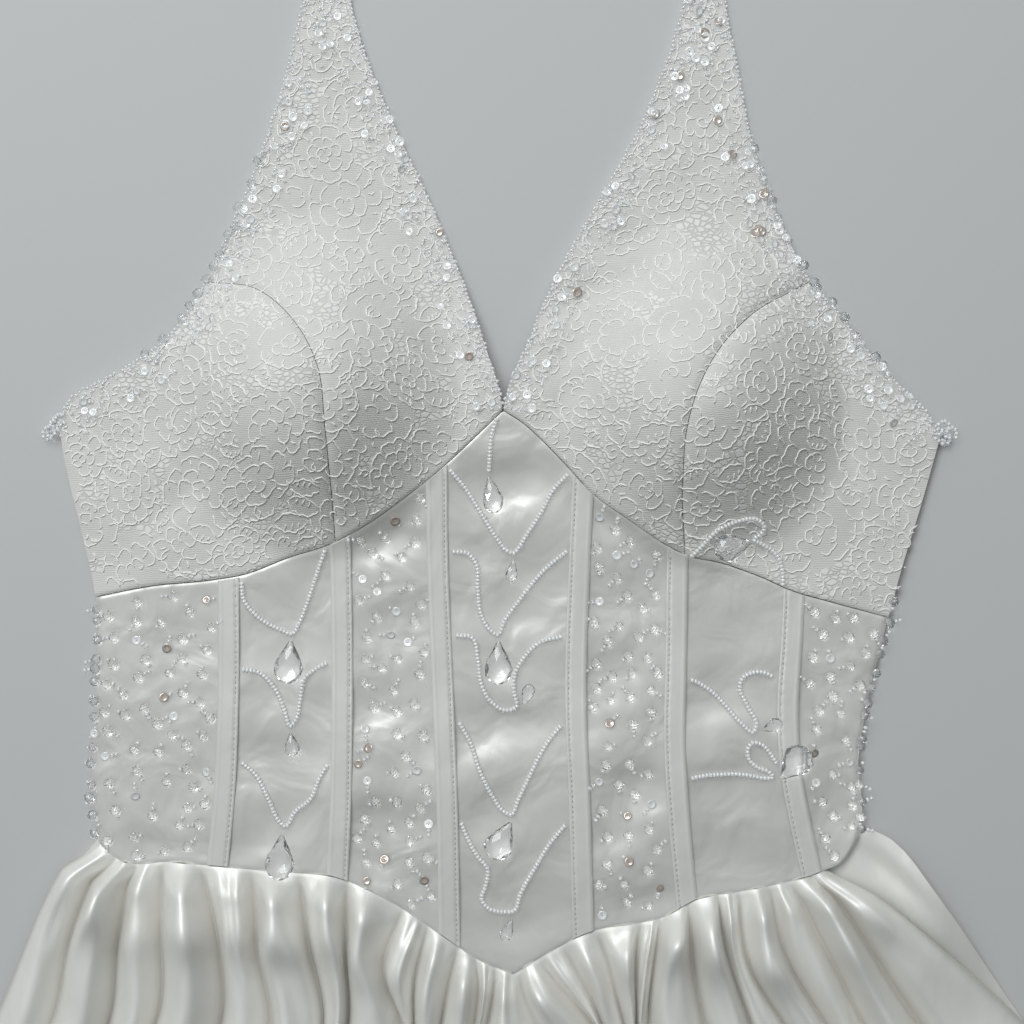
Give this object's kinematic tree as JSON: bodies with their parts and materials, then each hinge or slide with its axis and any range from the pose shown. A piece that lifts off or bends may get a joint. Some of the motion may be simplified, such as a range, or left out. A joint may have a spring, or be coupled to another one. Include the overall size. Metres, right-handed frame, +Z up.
{
  "type": "halter-neck wedding dress laid out flat",
  "caption": "Halter-neck wedding dress with lace cups, a boned corset waist, bead strands with crystal drops and a gathered satin skirt, laid out flat on its back.",
  "frame": {"origin": "middle of the dress's outline, on the surface it lies on", "axes": "+Y towards the neck, +X towards the viewer's right, looking at its front; left and right in names are the viewer's, +Z up, out of the dress's front"},
  "size_m": [1.39, 1.5847, 0.0427],
  "materials": {
    "lace": "corded floral lace over satin, matt with a little sheen",
    "satin": "ivory satin, soft gloss",
    "seed_beads": "clear glass seed beads lined with silver",
    "crystal": "clear faceted drops",
    "zip_tape": "woven tape with fine plastic teeth",
    "zip_metal": "plain nickel-coloured metal"
  },
  "bodies": {
    "root": {"front_lace_inner_left": "lace", "front_lace_outer_left": "lace", "back_bodice_left": "satin", "skirt_back_left": "satin", "front_lace_inner_right": "lace", "front_lace_outer_right": "lace", "back_bodice_right": "satin", "skirt_back_right": "satin", "panel_side_left": "satin", "panel_plain_left": "satin", "panel_beaded_left": "satin", "panel_centre": "satin", "panel_beaded_right": "satin", "panel_plain_right": "satin", "panel_side_right": "satin", "casing_left_1": "satin", "casing_left_2": "satin", "casing_left_3": "satin", "casing_right_1": "satin", "casing_right_2": "satin", "casing_right_3": "satin", "skirt_front": "satin", "strand_centre_1": "seed_beads", "strand_centre_2": "seed_beads", "strand_centre_3": "seed_beads", "strand_centre_4": "seed_beads", "strand_centre_5": "seed_beads", "strand_centre_6": "seed_beads", "strand_left_1": "seed_beads", "strand_left_2": "seed_beads", "strand_left_3": "seed_beads", "strand_right_1": "seed_beads", "strand_right_2": "seed_beads", "strand_right_3": "seed_beads", "zip_chain": "zip_tape", "zip_slider": "zip_metal", "nape_button": "satin"},
    "drop_centre_1": {"drop_centre_1": "crystal"},
    "drop_centre_2": {"drop_centre_2": "crystal"},
    "drop_centre_3": {"drop_centre_3": "crystal"},
    "drop_centre_4": {"drop_centre_4": "crystal"},
    "drop_centre_5": {"drop_centre_5": "crystal"},
    "drop_centre_6": {"drop_centre_6": "crystal"},
    "drop_left_1": {"drop_left_1": "crystal"},
    "drop_left_2": {"drop_left_2": "crystal"},
    "drop_left_3": {"drop_left_3": "crystal"},
    "drop_right_1": {"drop_right_1": "crystal"},
    "drop_right_2": {"drop_right_2": "crystal"},
    "drop_right_3": {"drop_right_3": "crystal"},
    "zip_pull": {"zip_pull": "zip_metal"}
  },
  "joints": [
    {"name": "swing_centre_1", "type": "hinge", "parent": "root", "child": "drop_centre_1", "pos_m": [-0.0063, 0.4583, 0.01204], "axis": [-0.9848, -0.1736, 0], "range_deg": [0, 90]},
    {"name": "swing_centre_2", "type": "hinge", "parent": "root", "child": "drop_centre_2", "pos_m": [0.005, 0.4212, 0.01103], "axis": [-0.9848, 0.1736, 0], "range_deg": [0, 90]},
    {"name": "swing_centre_3", "type": "hinge", "parent": "root", "child": "drop_centre_3", "pos_m": [-0.002, 0.3845, 0.01292], "axis": [-1, 0, 0], "range_deg": [0, 90]},
    {"name": "swing_centre_4", "type": "hinge", "parent": "root", "child": "drop_centre_4", "pos_m": [0.0088, 0.356, 0.01115], "axis": [0.9205, -0.3907, 0], "range_deg": [0, 90]},
    {"name": "swing_centre_5", "type": "hinge", "parent": "root", "child": "drop_centre_5", "pos_m": [0.0034, 0.3036, 0.01305], "axis": [-0.8829, 0.4695, 0], "range_deg": [0, 90]},
    {"name": "swing_centre_6", "type": "hinge", "parent": "root", "child": "drop_centre_6", "pos_m": [0.0041, 0.26, 0.01116], "axis": [-0.9272, 0.3746, 0], "range_deg": [0, 90]},
    {"name": "swing_left_1", "type": "hinge", "parent": "root", "child": "drop_left_1", "pos_m": [-0.095, 0.3848, 0.01185], "axis": [-0.9962, 0.0872, 0], "range_deg": [0, 90]},
    {"name": "swing_left_2", "type": "hinge", "parent": "root", "child": "drop_left_2", "pos_m": [-0.0954, 0.3434, 0.01025], "axis": [-0.9925, -0.1219, 0], "range_deg": [0, 90]},
    {"name": "swing_left_3", "type": "hinge", "parent": "root", "child": "drop_left_3", "pos_m": [-0.0986, 0.2982, 0.01416], "axis": [-0.9962, 0.0872, 0], "range_deg": [0, 90]},
    {"name": "swing_right_1", "type": "hinge", "parent": "root", "child": "drop_right_1", "pos_m": [0.1102, 0.4292, 0.01647], "axis": [-0.2588, 0.9659, 0], "range_deg": [0, 90]},
    {"name": "swing_right_2", "type": "hinge", "parent": "root", "child": "drop_right_2", "pos_m": [0.1164, 0.3446, 0.0101], "axis": [0.3746, -0.9272, 0], "range_deg": [0, 90]},
    {"name": "swing_right_3", "type": "hinge", "parent": "root", "child": "drop_right_3", "pos_m": [0.1247, 0.3233, 0.01207], "axis": [0.7431, -0.6691, 0], "range_deg": [0, 90]},
    {"name": "zip_pull_turn", "type": "hinge", "parent": "root", "child": "zip_pull", "pos_m": [0, 0.39445, -0.0002], "axis": [-1, 0, 0], "range_deg": [0, 175]}
  ]
}
